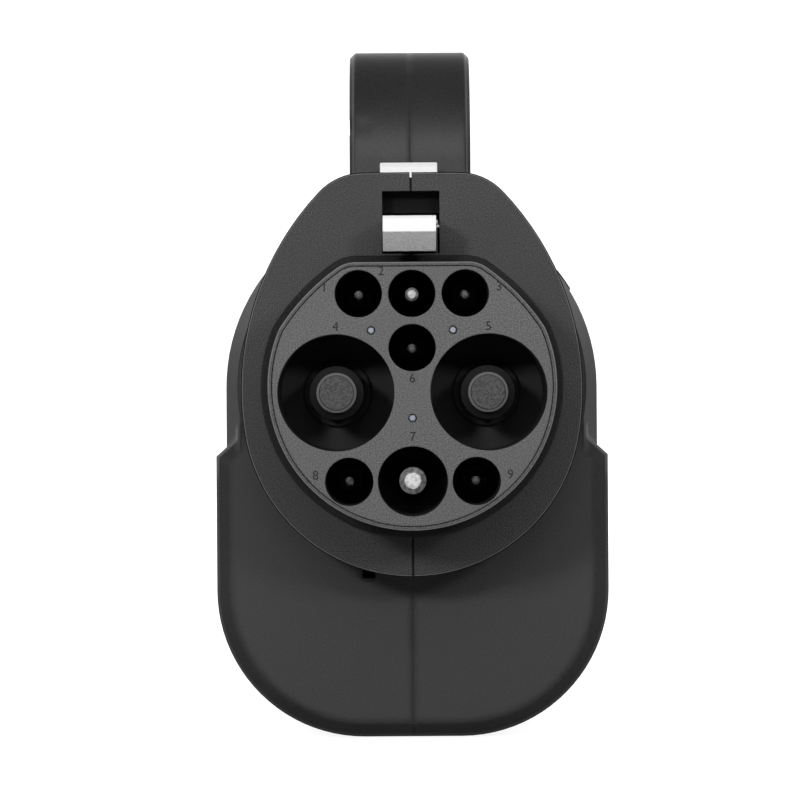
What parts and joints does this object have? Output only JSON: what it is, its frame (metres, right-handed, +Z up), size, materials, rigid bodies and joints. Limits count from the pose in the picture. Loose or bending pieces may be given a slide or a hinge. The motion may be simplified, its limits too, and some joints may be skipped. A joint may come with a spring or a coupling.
{
  "type": "electric vehicle charging adapter",
  "caption": "Handheld DC charging adapter: round plug nose with recessed pins and a sprung latch at the front, deep black housing with a carrying loop, combined socket at the rear.",
  "frame": {"origin": "on the floor under the middle of the foot pad", "axes": "+Z up, the plug nose points along -Y, +X to the right when looking at the plug's face"},
  "size_m": [0.0914, 0.2005, 0.1626],
  "materials": {
    "housing": "fine spark texture, black",
    "insert": "fine grain, dark grey",
    "rubber": "matt black",
    "cap": "smooth, black",
    "contact": "silver plate on copper",
    "rivet": "satin",
    "latch": "bright silver",
    "steel": "bright",
    "copper": "bare copper",
    "board": "coated laminate",
    "component": "moulded cases",
    "cell": "shrink sleeve",
    "screw": "blackened"
  },
  "bodies": {
    "adapter": {"housing_left": "housing", "housing_right": "housing", "plug_shell": "insert", "plug_insert": "insert", "contact_plate": "insert", "plug_seal": "rubber", "face_rivets": "rivet", "dc_plus_pin": "contact", "dc_minus_pin": "contact", "dc_plus_cap": "cap", "dc_minus_cap": "cap", "pe_pin": "contact", "cc1_pin": "contact", "cc2_pin": "contact", "s_plus_pin": "contact", "s_minus_pin": "contact", "a_plus_pin": "contact", "a_minus_pin": "contact", "latch_pin": "steel", "latch_spring": "steel", "lock_solenoid": "cap", "inlet_shell": "insert", "inlet_block": "insert", "inlet_seal": "rubber", "inlet_dc_plus_pin": "contact", "inlet_dc_minus_pin": "contact", "inlet_pe_pin": "contact", "inlet_cp_pin": "contact", "inlet_pp_pin": "contact", "busbar_plus": "copper", "busbar_minus": "copper", "circuit_board": "board", "board_parts": "component", "battery_cells": "cell", "button_switch": "component", "housing_screws": "screw", "foot_pad": "rubber"},
    "latch": {"latch_lever": "latch"},
    "lock": {"lock_plunger": "steel"},
    "button": {"side_button": "cap"}
  },
  "joints": [
    {"name": "latch_pivot", "type": "hinge", "parent": "adapter", "child": "latch", "pos_m": [-0.0004, -0.075, 0.1186], "axis": [-1, 0, 0], "range_deg": [0, 7], "stiffness_Nm_per_rad": 0.8, "springref_deg": -8.59, "deforming": ["latch_spring"]},
    {"name": "lock_slide", "type": "slide", "parent": "adapter", "child": "lock", "axis": [0, -1, 0], "range_m": [0, 0.005]},
    {"name": "button_press", "type": "slide", "parent": "adapter", "child": "button", "axis": [-0.8192, 0, -0.5736], "range_m": [0, 0.0008], "stiffness_N_per_m": 1000, "springref_m": -0.0007}
  ]
}
